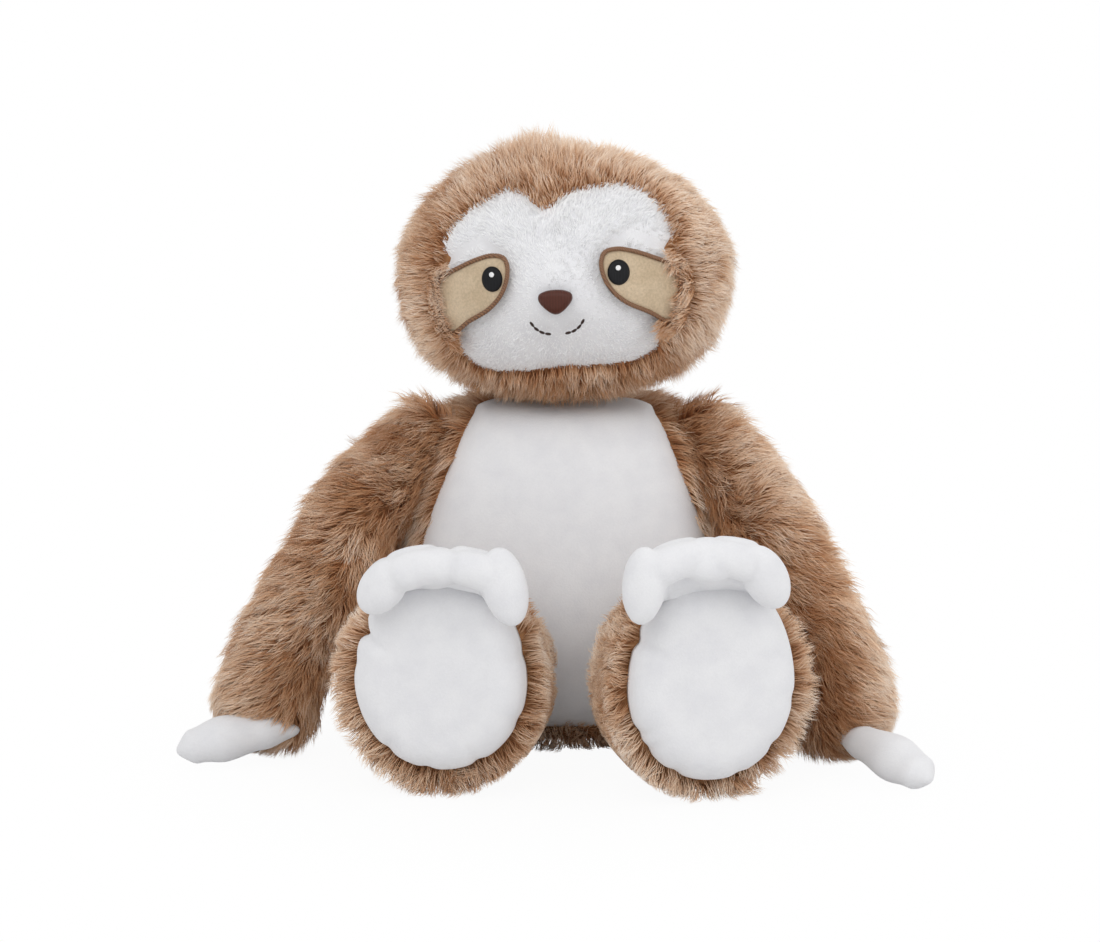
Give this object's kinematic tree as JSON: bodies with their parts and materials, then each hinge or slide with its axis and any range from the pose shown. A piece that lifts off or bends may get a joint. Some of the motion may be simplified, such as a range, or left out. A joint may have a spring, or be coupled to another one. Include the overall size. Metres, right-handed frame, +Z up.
{
  "type": "plush sloth",
  "caption": "Sitting stuffed toy sloth with long-pile fur, a flat face, and head, arms, legs and claws that move at their seams.",
  "frame": {"origin": "on the floor, under the middle of the whole toy's outline", "axes": "+X towards the toy's own left hand, +Y towards its back, +Z up; it faces -Y"},
  "size_m": [0.405, 0.2956, 0.3332],
  "materials": {
    "long_pile_fur": "long-pile faux fur, mid tan with dark roots",
    "white_plush": "short-pile white plush",
    "beige_plush": "short-pile beige plush",
    "brown_thread": "brown satin stitch",
    "dark_brown_thread": "dark brown satin stitch",
    "black_thread": "black satin stitch",
    "white_thread": "white satin stitch",
    "fibre_stuffing": "loose polyester fibre filling",
    "calico": "plain woven cotton bag filled with pellets"
  },
  "bodies": {
    "torso": {"torso_fur_cover": "long_pile_fur", "belly_panel": "white_plush", "torso_stuffing": "fibre_stuffing", "seat_pellet_bag": "calico"},
    "neck": {"neck_stuffing": "fibre_stuffing"},
    "head": {"head_fur_cover": "long_pile_fur", "face_panel": "white_plush", "head_stuffing": "fibre_stuffing", "nose": "dark_brown_thread", "eye_border_left": "brown_thread", "eye_border_right": "brown_thread", "eye_patch_left": "beige_plush", "eye_patch_right": "beige_plush", "pupil_left": "black_thread", "pupil_right": "black_thread", "eye_glint_left": "white_thread", "eye_glint_right": "white_thread", "smile_left": "brown_thread", "smile_right": "brown_thread"},
    "arm_left": {"arm_fur_cover_left": "long_pile_fur", "arm_stuffing_left": "fibre_stuffing"},
    "arm_right": {"arm_fur_cover_right": "long_pile_fur", "arm_stuffing_right": "fibre_stuffing"},
    "claw_left": {"hand_claw_left": "white_plush"},
    "claw_right": {"hand_claw_right": "white_plush"},
    "leg_left": {"leg_fur_cover_left": "long_pile_fur", "sole_left": "white_plush", "leg_stuffing_left": "fibre_stuffing"},
    "leg_right": {"leg_fur_cover_right": "long_pile_fur", "sole_right": "white_plush", "leg_stuffing_right": "fibre_stuffing"},
    "toes_left": {"toe_claws_left": "white_plush"},
    "toes_right": {"toe_claws_right": "white_plush"}
  },
  "joints": [
    {"name": "neck_turn", "type": "hinge", "parent": "torso", "child": "neck", "pos_m": [0.0093, 0.0661, 0.204], "axis": [0, 0, 1], "range_deg": [-20, 20], "stiffness_Nm_per_rad": 1},
    {"name": "neck_nod", "type": "hinge", "parent": "neck", "child": "head", "pos_m": [0.0093, 0.0661, 0.204], "axis": [1, 0, 0], "range_deg": [-10, 5], "stiffness_Nm_per_rad": 2},
    {"name": "shoulder_left", "type": "hinge", "parent": "torso", "child": "arm_left", "pos_m": [0.0853, 0.0601, 0.164], "axis": [-0.7314, -0.682, 0], "range_deg": [0, 60]},
    {"name": "shoulder_right", "type": "hinge", "parent": "torso", "child": "arm_right", "pos_m": [-0.0667, 0.0601, 0.164], "axis": [-0.6018, 0.7986, 0], "range_deg": [0, 60]},
    {"name": "hip_left", "type": "hinge", "parent": "torso", "child": "leg_left", "pos_m": [0.06102, -0.00834, 0.042], "axis": [-0.9744, -0.225, 0], "range_deg": [0, 18]},
    {"name": "hip_right", "type": "hinge", "parent": "torso", "child": "leg_right", "pos_m": [-0.04242, 0.00254, 0.042], "axis": [-0.9903, 0.1392, 0], "range_deg": [0, 18]},
    {"name": "hand_claw_left_bend", "type": "hinge", "parent": "arm_left", "child": "claw_left", "pos_m": [0.1638, -0.04511, 0.013], "axis": [-0.788, -0.6157, 0], "range_deg": [0, 10], "stiffness_Nm_per_rad": 0.05},
    {"name": "hand_claw_right_bend", "type": "hinge", "parent": "arm_right", "child": "claw_right", "pos_m": [-0.14518, -0.02928, 0.013], "axis": [-0.1564, 0.9877, 0], "range_deg": [0, 10], "stiffness_Nm_per_rad": 0.05},
    {"name": "toe_claws_left_bend", "type": "hinge", "parent": "leg_left", "child": "toes_left", "pos_m": [0.08306, -0.10382, 0.1175], "axis": [-0.9744, -0.225, 0], "range_deg": [-10, 10], "stiffness_Nm_per_rad": 0.1},
    {"name": "toe_claws_right_bend", "type": "hinge", "parent": "leg_right", "child": "toes_right", "pos_m": [-0.05605, -0.09451, 0.1175], "axis": [-0.9903, 0.1392, 0], "range_deg": [-10, 10], "stiffness_Nm_per_rad": 0.1}
  ]
}
